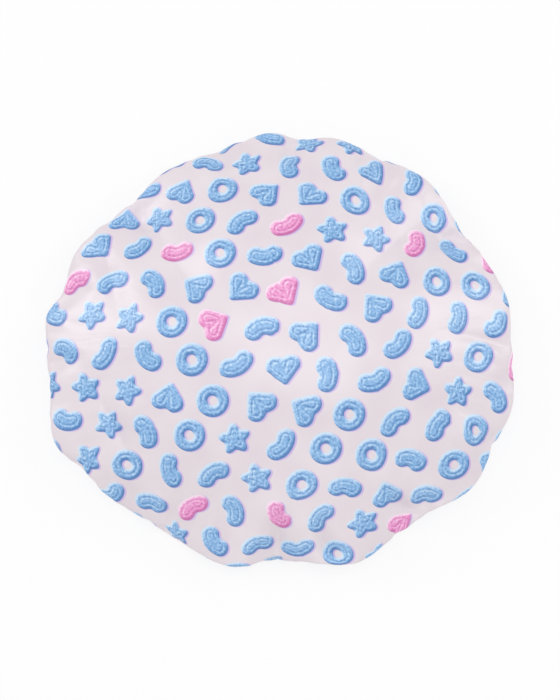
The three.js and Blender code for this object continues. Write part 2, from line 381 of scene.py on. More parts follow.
# sharp short creases that run in from each tuck of the rim, also in mm
creases = {
    "tuckSpan": 5,  # degrees to each side in which a tuck is the narrowest place
    "reach": (18, 52),
    "slant": 0.5,  # radians off the way to the middle, at most
    "widths": (2.4, 5.5),
    "depth": (0.9, 2.4),
    "seed": 8,
}
pressed = {
    "growsOver": (-0.3, 0.25),  # shares of a fold's length in which it deepens and fades
    "fadesOver": (0.35, 1.15),
    "rimFade": (0.88, 1),  # shares of the way to the rim in which folds run out
    "drawIn": 0.26,  # cloth that a fold takes up, and the widths over which it is drawn in
    "drawnOver": (0, 1.6),
    "drawnFade": (2, 6),
    "roundness": 1.4,
}
swells = {"count": 12, "shortest": 45 * mm, "longest": 95 * mm, "height": 0.28 * mm, "seed": 5}


def rimCreases():
    rng = np.random.default_rng(creases["seed"])
    degrees = np.radians(np.arange(360))
    radius = around(degrees, rimRadius)
    span = range(-creases["tuckSpan"], creases["tuckSpan"] + 1)
    tucks = radius <= np.min([np.roll(radius, k) for k in span], axis=0)
    made = []
    for angle, rim in zip(degrees[tucks], radius[tucks]):
        heading = angle + math.pi + rng.uniform(-creases["slant"], creases["slant"])
        start = (centre + rim * np.array([math.cos(angle), math.sin(angle)])) / mm
        end = start + rng.uniform(*creases["reach"]) * np.array([math.cos(heading), math.sin(heading)])
        made.append({"from": start, "to": end, "widths": rng.uniform(*creases["widths"], 2),
                     "depth": rng.uniform(*creases["depth"])})
    print("creases from", len(made), "tucks")
    return made


allFolds = folds + rimCreases()


def pressFolds(points, share):
    crown = 1 - smoothRise(share, *pressed["rimFade"])
    rng = np.random.default_rng(swells["seed"])
    for _ in range(swells["count"]):
        heading, phase = rng.uniform(0, 2 * np.pi, 2)
        length = rng.uniform(swells["shortest"], swells["longest"])
        along = points[:, 0] * math.cos(heading) + points[:, 1] * math.sin(heading)
        points[:, 2] += swells["height"] * np.sin(2 * np.pi * along / length + phase) * crown
    for fold in allFolds:
        start, end = np.array(fold["from"]) * mm, np.array(fold["to"]) * mm
        run = end - start
        across = np.array([run[1], -run[0]]) / np.linalg.norm(run)
        across *= np.sign(-start @ across)
        offset = points[:, :2] + centre - start
        along = offset @ run / (run @ run)
        apart = offset @ across
        width = np.where(apart > 0, *fold["widths"]) * mm
        apart = apart / width
        depth = fold["depth"] * mm * smoothRise(along, *pressed["growsOver"])
        depth = depth * (1 - smoothRise(along, *pressed["fadesOver"])) * crown
        # the cloth that the fold takes up is drawn in from both sides
        drawn = pressed["drawIn"] * depth ** 2 / width * smoothRise(np.abs(apart), *pressed["drawnOver"])
        drawn *= np.sign(apart) * (1 - smoothRise(np.abs(apart), *pressed["drawnFade"]))
        points[:, :2] -= drawn[:, None] * across
        points[:, 2] -= depth * np.exp(-np.abs(apart - drawn / width) ** pressed["roundness"])
    return points


def normalsOf(points, faces):
    faces = np.array(faces)
    normals = np.zeros_like(points)
    corner = points[faces]
    flat = np.cross(corner[:, 1] - corner[:, 0], corner[:, 2] - corner[:, 0])
    for k in range(faces.shape[1]):
        np.add.at(normals, faces[:, k], flat)
    return normals / np.maximum(np.linalg.norm(normals, axis=1), 1e-12)[:, None]


evening = {
    "passes": 6,
    "strength": 0.6,
    "lessAtRim": 0.85,  # share of the strength that is lost towards the rim
    "lessOver": (0.6, 0.9),  # shares of the way to the rim in which that comes in
}


# evens out the small ripples that the settling leaves on the crown
def smoothCrown(points, triangles, share):
    faces = np.array(triangles)
    pairs = np.vstack([faces[:, [0, 1]], faces[:, [1, 2]], faces[:, [2, 0]]])
    pairs = np.unique(np.sort(pairs, axis=1), axis=0)
    degree = np.bincount(pairs.ravel(), minlength=len(points))[:, None]
    weight = 1 - evening["lessAtRim"] * smoothRise(share, *evening["lessOver"])
    weight = (weight * (share < 1))[:, None]
    for _ in range(evening["passes"]):
        total = np.zeros_like(points)
        np.add.at(total, pairs[:, 0], points[pairs[:, 1]])
        np.add.at(total, pairs[:, 1], points[pairs[:, 0]])
        normals = normalsOf(points, triangles)
        bulge = ((total / degree - points) * normals).sum(axis=1)[:, None]
        points = points + evening["strength"] * weight * bulge * normals
    return points


# the settling swells the crown too far: its broad form goes back to the lie, and its ripples stay
def levelCrown(points, lying, share, angle):
    steps = 30  # from the middle to the rim
    step = np.round(share * steps).astype(int)
    waves = [np.ones(len(points))] + [wave(k * angle) for k in (1, 2) for wave in (np.cos, np.sin)]
    back = np.zeros((steps + 1, len(waves), 3))
    for k in range(steps):
        ring = step == k
        back[k] = np.linalg.lstsq(np.transpose(waves)[ring], (lying - points)[ring], rcond=None)[0]
    for axis in range(3):
        for k, wave in enumerate(waves):
            points[:, axis] += wave * np.interp(share * steps, np.arange(steps + 1), back[:, k, axis])
    return points


fitting = {
    "every": 4,  # degrees between the places round the rim
    "within": 2.5,  # degrees to each side of a place
    "mouthKept": 1.4,  # times the row's radius: from there on out the cloth is moved in full
    "raisedOver": (10 * mm, 30 * mm),  # heights between which the raise to the crown's top comes in
    "floorGap": 0.4 * mm,
}


# brings the settled cloth back to the outline and height of the frame, leaving the mouth alone
def fitOutline(points):
    radius = np.hypot(points[:, 0], points[:, 1])
    angle = np.arctan2(points[:, 1], points[:, 0]) % (2 * np.pi)
    bins = np.radians(np.arange(fitting["every"] / 2, 360, fitting["every"]))
    near = turnBetween(angle, bins[:, None]) < math.radians(fitting["within"])
    widest = np.where(near, radius, 0).max(axis=1)
    ratio = np.interp(angle, bins, around(bins, rimRadius) / widest, period=2 * np.pi)
    weight = smoothRise(radius, rowRadius, fitting["mouthKept"] * rowRadius)
    points[:, :2] *= (1 + (ratio - 1) * weight)[:, None]
    lift = crownTop / points[:, 2].max()
    points[:, 2] *= 1 + (lift - 1) * smoothRise(points[:, 2], *fitting["raisedOver"])
    points[:, 2] = np.maximum(points[:, 2], fitting["floorGap"])
    return points


fromMiddle, clothAngle, clothTriangles = layRings()
lyingPoints, rimShare = poseCloth(fromMiddle, clothAngle)
clothPoints = lyingPoints
clothPoints = settleCloth(lyingPoints, clothTriangles, rimShare, fromMiddle)
clothPoints = smoothCrown(clothPoints, clothTriangles, rimShare)
clothPoints = fitOutline(levelCrown(clothPoints, lyingPoints, rimShare, clothAngle))
print("cloth settled:", len(clothPoints), "points, top", round(clothPoints[:, 2].max() / mm, 1), "mm")

# Layers: the settled cloth with its casing, made smooth, folded, moved inwards and given a thickness
layers = {
    "shell": {"inset": 0.0, "thickness": 0.3 * mm, "bulge": -3.0 * mm, "lip": 1.1 * mm},
    "lining": {"inset": 0.9 * mm, "thickness": 0.15 * mm, "bulge": 3.1 * mm, "lip": 0.0},
}
casing = {
    "edgeRipple": 0.7 * mm,
    "liningBack": 0.5 * mm,  # how far the lining's edge stays behind the shell's
    "drawIn": 1.15,  # higher draws the cloth in sooner
    "puffShape": 0.8,  # lower is boxier
    "puffRipple": 0.12,
    "lipFrom": 0.8,  # share of the way from the row to the edge
}
lap = {"lift": 2.2 * mm, "at": 0.05, "spread": 0.28}  # the lining rises over the elastic's lapped ends
insetSwitch = (0.97, 1)  # shares of the way to the rim
bakeMap = {"shown": (0.5, 0.49), "hidden": (0.072, 0.068)}  # middle and half size of each face's disc


# rings of the casing from the stitch row to the mouth's edge, puffed out over the elastic
def casingRings(row, layer):
    angle = np.arctan2(row[:, 1], row[:, 0])
    start = np.hypot(row[:, 0], row[:, 1])
    ripple = unevenWave(angle, gather["pleats"], gather["seed"])
    overLap = np.exp(-((angle - lap["at"]) / lap["spread"]) ** 2) * (layer["bulge"] > 0)
    edge = mouthRadius + casing["edgeRipple"] * ripple + (0 if layer["lip"] else casing["liningBack"])
    bulge = layer["bulge"] * (1 + casing["puffRipple"] * ripple) + lap["lift"] * overLap
    rings = []
    for k in range(1, cut["casingRings"] + 1):
        t = k / cut["casingRings"]
        puff = math.sin(math.pi * t) ** casing["puffShape"]
        radius = start + (edge - start) * (1 - (1 - t) ** casing["drawIn"])
        height = row[:, 2] + puff * bulge + layer["lip"] * smoothRise(np.array(t), casing["lipFrom"], 1)
        rings.append(np.stack([radius * np.cos(angle), radius * np.sin(angle), height], axis=1))
    return rings


# One layer as a closed sheet. Its third flat coordinate carries the share of the way to the rim until
# the folds are pressed. The print's coordinates and the bake map both follow the flat cut:
# the face that shows fills the map, and the hidden face sits small in its corner.
def makeLayer(name, layer, showsOutside):
    inset = layer["inset"] * smoothRise(rimShare, *insetSwitch)[:, None]
    points = clothPoints - normalsOf(clothPoints, clothTriangles) * inset
    rowCount = 6 * cut["rings"]
    rowStart = len(points) - rowCount
    rings = casingRings(points[rowStart:], layer)
    flatRadius = np.concatenate([fromMiddle] + [
        np.full(rowCount, cut["toRow"] + cut["casing"] * (k + 1) / len(rings)) for k in range(len(rings))])
    flatAngle = np.concatenate([clothAngle] + [clothAngle[rowStart:]] * len(rings))
    faces = [tuple(t) for t in clothTriangles]
    for k in range(len(rings)):
        for j in range(rowCount):
            a, b = rowStart + k * rowCount + j, rowStart + k * rowCount + (j + 1) % rowCount
            faces.append((a, a + rowCount, b + rowCount, b))
    points = np.vstack([points] + rings)
    share = np.append(rimShare, np.ones(rowCount * len(rings)))
    flat = np.stack([flatRadius * np.cos(flatAngle), flatRadius * np.sin(flatAngle), share], axis=1)
    points, flat, faces = smoothSheet(name, points, faces, flat)
    points = pressFolds(points, flat[:, 2])
    # on the crown the inset comes after the folds, so that the layers keep their distance in them
    inset = layer["inset"] * (1 - smoothRise(flat[:, 2], *insetSwitch))[:, None]
    points -= normalsOf(points, faces) * inset
    points[:, :2] += centre
    flat[:, 2] = 0
    return thicken(name, points, flat, faces, layer["thickness"], showsOutside)


def smoothSheet(name, points, faces, flat):
    mesh = bpy.data.meshes.new(name + "Coarse")
    mesh.from_pydata(points.tolist(), [], faces)
    mesh.attributes.new("flatCut", "FLOAT_VECTOR", "POINT").data.foreach_set("vector", flat.ravel())
    coarse = bpy.data.objects.new(name + "Coarse", mesh)
    scene.collection.objects.link(coarse)
    coarse.modifiers.new("smooth", "SUBSURF").levels = 1
    fine = coarse.evaluated_get(bpy.context.evaluated_depsgraph_get()).to_mesh()
    finePoints = readAll(fine.vertices, "co")
    fineFlat = readAll(fine.attributes["flatCut"].data, "vector")
    fineFaces = readAll(fine.loops, "vertex_index", 1, int).reshape(-1, 4)
    bpy.data.objects.remove(coarse)
    bpy.data.meshes.remove(mesh)
    return finePoints, fineFlat, fineFaces


def thicken(name, points, flat, faces, thickness, showsOutside):
    count = len(points)
    inside = points - normalsOf(points, faces) * thickness
    directed = np.stack([faces, np.roll(faces, -1, axis=1)], axis=2).reshape(-1, 2)
    _, first, uses = np.unique(np.sort(directed, axis=1), axis=0, return_index=True, return_counts=True)
    border = directed[first[uses == 1]]
    rim = np.stack([border[:, 1], border[:, 0], border[:, 0] + count, border[:, 1] + count], axis=1)
    allFaces = np.vstack([faces, faces[:, ::-1] + count, rim])
    mesh = bpy.data.meshes.new(name)
    mesh.from_pydata(np.vstack([points, inside]).tolist(), [], allFaces.tolist())
    flat = np.vstack([flat, flat])
    mesh.attributes.new("flatCut", "FLOAT_VECTOR", "POINT").data.foreach_set("vector", flat.ravel())
    big, small = [middle + flat[:, :2] / discRadius * half for middle, half in bakeMap.values()]
    corner = allFaces.ravel()
    faceShown = np.concatenate([np.full(len(faces), showsOutside), np.full(len(faces), not showsOutside),
                                np.full(len(rim), False)])
    bake = np.where(np.repeat(faceShown, 4)[:, None], big[corner], small[corner])
    mesh.uv_layers.new(name="OFBake").data.foreach_set("uv", bake.ravel())
    mesh.polygons.foreach_set("use_smooth", np.ones(len(allFaces), bool))
    mesh.update()
    sheet = bpy.data.objects.new(name, mesh)
    scene.collection.objects.link(sheet)
    print(name, len(allFaces), "faces")
    return sheet


shell = makeLayer("printedShell", layers["shell"], True)
lining = makeLayer("filmLining", layers["lining"], False)

sheets = ((shell, "outer_shell", "printed_satin"), (lining, "waterproof_lining", "lining_film"))
for piece, node, slot in sheets:
    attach(piece, "root")
    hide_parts(node)

# Floor, world and lamps
room = {
    "floorHalf": 3.0,
    "world": 0.61,
    "paperWhite": 0.8,  # share of the floor that is plain white to the camera
    "lamps": [
        {"name": "topSoftbox", "at": (0.0, 0.15, 1.5), "size": 1.2, "power": 5},
        {"name": "leftSoftbox", "at": (-1.08, 0.5, 0.74), "size": 0.65, "power": 3.6, "fill": 0.75},
        {"name": "rightSoftbox", "at": (1.07, 0.47, 0.76), "size": 0.65, "power": 3, "fill": 0.75},
        {"name": "frontFill", "at": (0.1, -1.3, 0.75), "size": 1.0, "power": 2.4, "gloss": 0},
    ],
}


# the white background shows to the camera, in gloss and through what is clear
def shownWhite(tree):
    path = addNode(tree, "LightPath")
    seen = path.outputs["Is Camera Ray"]
    for ray in ("Is Glossy Ray", "Is Transmission Ray"):
        seen = addNode(tree, "Math", {0: seen, 1: path.outputs[ray]}, operation="MAXIMUM")
    return seen


def makeRoom():
    floor = squareFloor("floor", room["floorHalf"])
    scene.collection.objects.link(floor)
    # seamless studio paper: mostly white to the camera, the rest diffuse so that the shadow stays
    material, tree = newMaterial("whiteStudioPaper")
    paper = addNode(tree, "BsdfDiffuse", {"Color": linear("#ffffff")})
    white = addNode(tree, "Emission", {"Color": linear("#ffffff"), "Strength": 1.0})
    seen = addNode(tree, "Math", {0: shownWhite(tree), 1: room["paperWhite"]}, operation="MULTIPLY")
    mix = addNode(tree, "MixShader", {0: seen, 1: paper, 2: white})
    addNode(tree, "OutputMaterial", {"Surface": mix})
    floor.data.materials.append(material)
    world = bpy.data.worlds.new("studio")
    world.use_nodes = True
    world.node_tree.nodes.clear()
    scene.world = world
    tree = world.node_tree
    lit = addNode(tree, "Background", {"Color": linear("#f6f4f7"), "Strength": room["world"]})
    seen = addNode(tree, "Background", {"Color": linear("#ffffff"), "Strength": 1.0})
    mix = addNode(tree, "MixShader", {0: shownWhite(tree), 1: lit, 2: seen})
    addNode(tree, "OutputWorld", {"Surface": mix})
    for lamp in room["lamps"]:
        data = bpy.data.lights.new(lamp["name"], "AREA")
        data.energy = lamp["power"]
        data.size = lamp["size"]
        data.specular_factor = lamp.get("gloss", 1)
        data.diffuse_factor = lamp.get("fill", 1)
        light = bpy.data.objects.new(lamp["name"], data)
        light.location = lamp["at"]
        light.rotation_euler = Vector(lamp["at"]).to_track_quat("Z", "Y").to_euler()
        scene.collection.objects.link(light)


makeRoom()

# Print: jelly sweets scattered over the cloth. All lengths here are in mm on the flat cut.
sweets = {
    "slant": 34,  # degrees, the rows of sweets to the cloth's grain
    "across": 24.6,  # cell size
    "along": 26.0,
    "jitter": 1.6,  # how far a sweet may lie off its cell's middle, in all
    "seed": 3.0,
    "beans": 0.42,  # shares of each kind, counted up; the rest are rings
    "hearts": 0.64,
    "stars": 0.84,
    "pink": 0.05,  # share of pink ones
    "rounding": 3.8,  # width of a sweet's round edge
    "groove": (-3.4, 0.55, 0.2),  # pressed line inside its edge: place, half its width, depth
    "lightStep": 0.8,  # how far apart heights are compared for light and shade
    "light": (-0.55, 0.83),  # from where the drawn light comes
    "fringe": (1.15, -0.3),  # shift of the lilac shadow
    "blues": ("#4079b8", "#7aafe0", "#99c6ef", "#d4eafc"),  # from shade to light
    "pinks": ("#c862a6", "#ec8fcb", "#f6abda", "#ffe2f4"),
    "tones": (0.12, 0.45, 0.62, 0.95),  # where those colours stand
    "mottle": 1.7,  # size of the grain on a sweet
    "mottleShade": 0.2,
    "edge": (0.2, -0.25),  # a sweet's soft edge, from outside to inside
    "fringeEdge": (0.5, -0.4),
    "fringeStrength": 0.85,
    "lilac": "#c9aee8",
    "cloud": 30,  # size of the faint clouds in the ground
    "ground": ("#e4d9df", "#ebe2e7"),
}


# distance from a place to a sweet's outline, below zero inside it
def sweetOutline():
    group = bpy.data.node_groups.new("sweetOutline", "ShaderNodeTree")
    group.interface.new_socket("Place", in_out="INPUT", socket_type="NodeSocketVector")
    group.interface.new_socket("Kind", in_out="INPUT", socket_type="NodeSocketFloat")
    group.interface.new_socket("Distance", in_out="OUTPUT", socket_type="NodeSocketFloat")
    put = partial(addNode, group)
    given = group.nodes.new("NodeGroupInput")
    place = put("SeparateXYZ", {0: given.outputs["Place"]})
    x, y = place.outputs[0], place.outputs[1]
    # bean: a round stroke along an arc
    arc, halfTurn, stroke, shift = 9.2, 0.6, 5.9, 8.4
    up = put("Math", {0: y, 1: shift}, operation="ADD")
    turn = put("Math", {0: x, 1: up}, operation="ARCTAN2")
    turn = put("Math", {0: turn, 1: halfTurn}, operation="MINIMUM")
    turn = put("Math", {0: turn, 1: -halfTurn}, operation="MAXIMUM")
    sine = put("Math", {0: turn}, operation="SINE")
    cosine = put("Math", {0: turn}, operation="COSINE")
    onArc = put("VectorMath", {0: put("CombineXYZ", {0: sine, 1: cosine}), "Scale": arc}, operation="SCALE")
    offArc = put("VectorMath", {0: put("CombineXYZ", {0: x, 1: up}), 1: onArc}, operation="DISTANCE")
    bean = put("Math", {0: offArc.outputs["Value"], 1: stroke}, operation="SUBTRACT")
    # heart: two tapered strokes that meet in the point
    tip, run, thin, thicker, seam = (0, -6.2, 0), (4.9, 9.2, 0), 3.0, 2.8, 2.2
    square = put("Math", {0: x, 1: x, 2: seam}, operation="MULTIPLY_ADD")
    half = put("CombineXYZ", {0: put("Math", {0: square}, operation="SQRT"), 1: y})
    fromTip = put("VectorMath", {0: half, 1: tip}, operation="SUBTRACT")
    along = put("VectorMath", {0: fromTip, 1: run}, operation="DOT_PRODUCT")
    length = run[0] ** 2 + run[1] ** 2
    share = put("Math", {0: along.outputs["Value"], 1: length}, operation="DIVIDE", use_clamp=True)
    onRun = put("VectorMath", {0: run, "Scale": share}, operation="SCALE")
    offRun = put("VectorMath", {0: fromTip, 1: onRun}, operation="DISTANCE")
    width = put("Math", {0: share, 1: thicker, 2: thin}, operation="MULTIPLY_ADD")
    heart = put("Math", {0: offRun.outputs["Value"], 1: width}, operation="SUBTRACT")
    # star with blunt points, and ring
    pointCount, pointLength, body, steepness, hoopRadius, hoopHalf = 5.0, 1.6, 8.5, 0.8, 6.6, 3.6
    radius = put("VectorMath", {0: given.outputs["Place"]}, operation="LENGTH").outputs["Value"]
    points = put("Math", {0: x, 1: y}, operation="ARCTAN2")
    points = put("Math", {0: points, 1: pointCount}, operation="MULTIPLY")
    wave = put("Math", {0: points}, operation="COSINE")
    wave = put("Math", {0: wave, 1: pointLength, 2: body}, operation="MULTIPLY_ADD")
    star = put("Math", {0: radius, 1: wave}, operation="SUBTRACT")
    star = put("Math", {0: star, 1: steepness}, operation="MULTIPLY")
    hoop = put("Math", {0: radius, 1: hoopRadius}, operation="SUBTRACT")
    hoop = put("Math", {0: hoop}, operation="ABSOLUTE")
    chosen = put("Math", {0: hoop, 1: hoopHalf}, operation="SUBTRACT")
    for shape, limit in ((star, "stars"), (heart, "hearts"), (bean, "beans")):
        below = put("Math", {0: given.outputs["Kind"], 1: sweets[limit]}, operation="LESS_THAN")
        chosen = put("Mix", {"Factor": below, "A": chosen, "B": shape}, data_type="FLOAT")
    result = group.nodes.new("NodeGroupOutput")
    group.links.new(chosen.outputs[0], result.inputs["Distance"])
    return group


# ramp through a list of hex colours
def colourRamp(tree, factor, colours, places):
    ramp = addNode(tree, "ValToRGB", {"Fac": factor})
    stops = ramp.color_ramp.elements
    while len(stops) < len(colours):
        stops.new(0.5)
    for stop, colour, place in zip(stops, colours, places):
        stop.position = place
        stop.color = linear(colour)
    return ramp


# the flat cut's own coordinates, in mm
def flatPlace(tree):
    flat = addNode(tree, "Attribute", attribute_name="flatCut")
    return addNode(tree, "VectorMath", {0: flat.outputs["Vector"], "Scale": 1 / mm}, operation="SCALE")


# colour of the printed cloth: sweets with their lilac shadows on the ground
def sweetPrint(tree, flat):
    put = partial(addNode, tree)
    slant = math.radians(sweets["slant"])
    slanted = put("VectorRotate", {"Vector": flat, "Angle": slant}, rotation_type="Z_AXIS")
    place = put("SeparateXYZ", {0: slanted})
    column = put("Math", {0: place.outputs[0], 1: sweets["across"]}, operation="DIVIDE")
    columnNumber = put("Math", {0: column}, operation="FLOOR")
    halfDrop = put("Math", {0: columnNumber, 1: 0.5}, operation="MULTIPLY")
    row = put("Math", {0: place.outputs[1], 1: 1 / sweets["along"], 2: halfDrop}, operation="MULTIPLY_ADD")
    rowNumber = put("Math", {0: row}, operation="FLOOR")
    cell = put("CombineXYZ", {0: columnNumber, 1: rowNumber, 2: sweets["seed"]})
    chance = put("SeparateColor", {0: put("TexWhiteNoise", {"Vector": cell}).outputs["Color"]})
    otherCell = put("VectorMath", {0: cell, 1: (0, 0, 40)}, operation="ADD")
    spread = put("TexWhiteNoise", {"Vector": otherCell}).outputs["Color"]
    inColumn, inRow = [put("Math", {0: each}, operation="FRACT") for each in (column, row)]
    inCell = put("CombineXYZ", {0: inColumn, 1: inRow})
    inCell = put("VectorMath", {0: inCell, 1: (0.5, 0.5, 0)}, operation="SUBTRACT")
    inCell = put("VectorMath", {0: inCell, 1: (sweets["across"], sweets["along"], 0)}, operation="MULTIPLY")
    jitter = put("VectorMath", {0: spread, 1: (0.5, 0.5, 0.5)}, operation="SUBTRACT")
    jitter = put("VectorMath", {0: jitter, 1: (sweets["jitter"], sweets["jitter"], 0)}, operation="MULTIPLY")
    inCell = put("VectorMath", {0: inCell, 1: jitter}, operation="ADD")
    turn = put("Math", {0: chance.outputs[0], 1: 2 * math.pi}, operation="MULTIPLY")
    outline = sweetOutline()

    def distanceAt(shift):
        moved = put("VectorMath", {0: inCell, 1: (*shift, 0)}, operation="ADD")
        turned = put("VectorRotate", {"Vector": moved, "Angle": turn}, rotation_type="Z_AXIS")
        return put("Group", {"Place": turned, "Kind": chance.outputs[1]}, node_tree=outline)

    def heightAt(shift):
        distance = distanceAt(shift)
        depth = put("Math", {0: distance, 1: -1 / sweets["rounding"]}, operation="MULTIPLY", use_clamp=True)
        slope = put("Math", {0: 2.0, 1: depth}, operation="SUBTRACT")
        dome = put("Math", {0: put("Math", {0: depth, 1: slope}, operation="MULTIPLY")}, operation="SQRT")
        at, halfWidth, deep = sweets["groove"]
        inGroove = put("Math", {0: distance, 1: at, 2: halfWidth}, operation="COMPARE")
        return put("Math", {0: inGroove, 1: -deep, 2: dome}, operation="MULTIPLY_ADD")

    # a direction on the cloth as the slanted rows have it
    def alongRows(way, length):
        x, y = way
        turned = (x * math.cos(slant) - y * math.sin(slant), x * math.sin(slant) + y * math.cos(slant))
        return [c * length for c in turned]

    toLight = alongRows(sweets["light"], sweets["lightStep"])
    shade = put("Math", {0: heightAt([-c for c in toLight]), 1: heightAt(toLight)}, operation="SUBTRACT")
    mottle = put("TexNoise", {"Vector": flat, "Scale": 1 / sweets["mottle"], "Detail": 2.0})
    mottle = put("MapRange", {"Value": mottle.outputs["Fac"], "From Min": 0.3, "From Max": 0.7,
                              "To Min": -sweets["mottleShade"], "To Max": sweets["mottleShade"]})
    shade = put("Math", {0: shade, 1: mottle}, operation="ADD")
    shade = put("MapRange", {"Value": shade, "From Min": -0.5, "From Max": 0.5})
    blue = colourRamp(tree, shade, sweets["blues"], sweets["tones"])
    pink = colourRamp(tree, shade, sweets["pinks"], sweets["tones"])
    isPink = put("Math", {0: chance.outputs[2], 1: sweets["pink"]}, operation="LESS_THAN")
    sweet = put("Mix", {"Factor": isPink, "A": blue, "B": pink}, data_type="RGBA")
    cloud = put("TexNoise", {"Vector": flat, "Scale": 1 / sweets["cloud"], "Detail": 1.0})
    ground = colourRamp(tree, cloud.outputs["Fac"], sweets["ground"], (0.3, 0.7))
    shifted = distanceAt(alongRows(sweets["fringe"], -1))
    outside, inside = sweets["fringeEdge"]
    inFringe = put("MapRange", {"Value": shifted, "From Min": outside, "From Max": inside,
                                "To Max": sweets["fringeStrength"]}, interpolation_type="SMOOTHSTEP")
    outside, inside = sweets["edge"]
    inSweet = put("MapRange", {"Value": distanceAt((0, 0)), "From Min": outside, "From Max": inside},
                  interpolation_type="SMOOTHSTEP")
    colour = put("Mix", {"Factor": inFringe, "A": ground, "B": linear(sweets["lilac"])}, data_type="RGBA")
    return put("Mix", {"Factor": inSweet, "A": colour, "B": sweet}, data_type="RGBA")


satin = {
    "floatLength": 4.8,  # mm, as are the other lengths on the flat cut
    "floatWidth": 1.2,
    "floatGap": 0.2,
    "floatDepth": 0.1 * mm,
    "creaseFineness": 13.0,  # higher is more creases round the cap
    "creaseLength": 32,
    "creasedBetween": (50.0, 150.0),  # where creases come in, from the middle
    "creaseDepth": 1.6 * mm,
}


# Satin-faced woven polyester, printed and left soft: long floats give it a broad low shine, which
# washes the print out on slopes that face a lamp. The floats are drawn eight times too coarse, to show.
def printedSatin():
    material, tree = newMaterial("printedSatinPolyester")
    put = partial(addNode, tree)
    flat = flatPlace(tree)
    colour = sweetPrint(tree, flat)
    # fine creases that run in from the mouth and fade towards the middle of the crown
    outward = put("VectorMath", {0: flat}, operation="LENGTH").outputs["Value"]
    way = put("VectorMath", {0: flat}, operation="NORMALIZE")
    way = put("VectorMath", {0: way, "Scale": satin["creaseFineness"]}, operation="SCALE")
    inward = put("Math", {0: outward, 1: 1 / satin["creaseLength"]}, operation="MULTIPLY")
    creasePlace = put("VectorMath", {0: way, 1: put("CombineXYZ", {2: inward})}, operation="ADD")
    crease = put("TexNoise", {"Vector": creasePlace, "Scale": 1.0, "Detail": 2.0, "Roughness": 0.45})
    low, high = satin["creasedBetween"]
    outer = put("MapRange", {"Value": outward, "From Min": low, "From Max": high},
                interpolation_type="SMOOTHSTEP")
    crease = put("Math", {0: crease.outputs["Fac"], 1: outer.outputs[0]}, operation="MULTIPLY")
    creased = put("Bump", {"Strength": 0.6, "Distance": satin["creaseDepth"], "Height": crease})
    floats = put("TexBrick", {"Vector": flat, "Scale": 1.0, "Brick Width": satin["floatLength"],
                              "Row Height": satin["floatWidth"], "Mortar Size": satin["floatGap"],
                              "Mortar Smooth": 1.0}, offset=0.4, offset_frequency=2)
    weave = put("Bump", {"Strength": 0.2, "Distance": satin["floatDepth"], "Height": floats.outputs["Fac"],
                         "Normal": creased}, invert=True)
    shine = put("MapRange", {"Value": floats.outputs["Fac"], "To Min": 0.32, "To Max": 0.42})
    surface = put("BsdfPrincipled", {
        "Base Color": colour, "Roughness": shine, "IOR": 1.55, "Specular IOR Level": 0.85, "Normal": weave,
        "Sheen Weight": 0.25, "Sheen Roughness": 0.35, "Sheen Tint": linear("#fff6fb")})
    put("OutputMaterial", {"Surface": surface})
    return material


film = {"cloud": 18, "grain": 1.1, "grainDepth": 0.1 * mm}  # sizes of both patterns in mm


# Vinyl-acetate film, calendered: milky and soft, semi-matt, with the fine grain of the roller
def liningFilm():
    material, tree = newMaterial("calenderedVinylAcetateFilm")
    put = partial(addNode, tree)
    flat = flatPlace(tree)
    cloud = put("TexNoise", {"Vector": flat, "Scale": 1 / film["cloud"], "Detail": 3.0})
    colour = colourRamp(tree, cloud.outputs["Fac"], ("#e9e7ea", "#f3f1f3"), (0.3, 0.7))
    grain = put("TexVoronoi", {"Vector": flat, "Scale": 1 / film["grain"]}, feature="SMOOTH_F1")
    grain = grain.outputs["Distance"]
    bump = put("Bump", {"Strength": 0.25, "Distance": film["grainDepth"], "Height": grain})
    shine = put("MapRange", {"Value": cloud.outputs["Fac"], "To Min": 0.34, "To Max": 0.46})
    surface = put("BsdfPrincipled", {"Base Color": colour, "Roughness": shine, "IOR": 1.49, "Normal": bump})
    put("OutputMaterial", {"Surface": surface})
    return material


knit = {"loop": 1.4, "rib": 0.75, "groove": 0.12, "halfWidth": 3, "depth": 0.25 * mm}  # all but depth in mm


# Knitted polyester elastic: matt white, with ribs along it and rows of loops across them
def knittedElastic():
    material, tree = newMaterial("knittedPolyesterElastic")
    put = partial(addNode, tree)
    place = put("TexCoord").outputs["Object"]
    place = put("VectorMath", {0: place, 1: (centre[0], centre[1], 0)}, operation="SUBTRACT")
    place = put("VectorMath", {0: place, "Scale": 1 / mm}, operation="SCALE")
    axes = put("SeparateXYZ", {0: place})
    level = put("CombineXYZ", {0: axes.outputs[0], 1: axes.outputs[1]})
    fromAxis = put("VectorMath", {0: level}, operation="LENGTH").outputs["Value"]
    turn = put("Math", {0: axes.outputs[1], 1: axes.outputs[0]}, operation="ARCTAN2")
    bandRadius = (elasticHigh.x - elasticLow.x) / 2 / mm - knit["halfWidth"]
    alongBand = put("Math", {0: turn, 1: bandRadius}, operation="MULTIPLY")
    onBand = put("CombineXYZ", {0: alongBand, 1: fromAxis})
    loops = put("TexBrick", {"Vector": onBand, "Scale": 1.0, "Brick Width": knit["loop"],
                             "Row Height": knit["rib"], "Mortar Size": knit["groove"], "Mortar Smooth": 1.0})
    bump = put("Bump", {"Strength": 0.6, "Distance": knit["depth"], "Height": loops.outputs["Fac"]},
               invert=True)
    # painted shade: the grooves between the loops and ribs are coloured darker, as the shade that falls in
    # them
    colour = colourRamp(tree, loops.outputs["Fac"], ("#f4f3ee", "#d9d7d1"), (0.1, 0.9))
    surface = put("BsdfPrincipled", {"Base Color": colour, "Roughness": 0.85, "Normal": bump,
                                     "Sheen Weight": 0.3})
    put("OutputMaterial", {"Surface": surface})
    return material


yarn = {"ply": 0.9, "depth": 0.08 * mm}  # the ply's spacing in mm


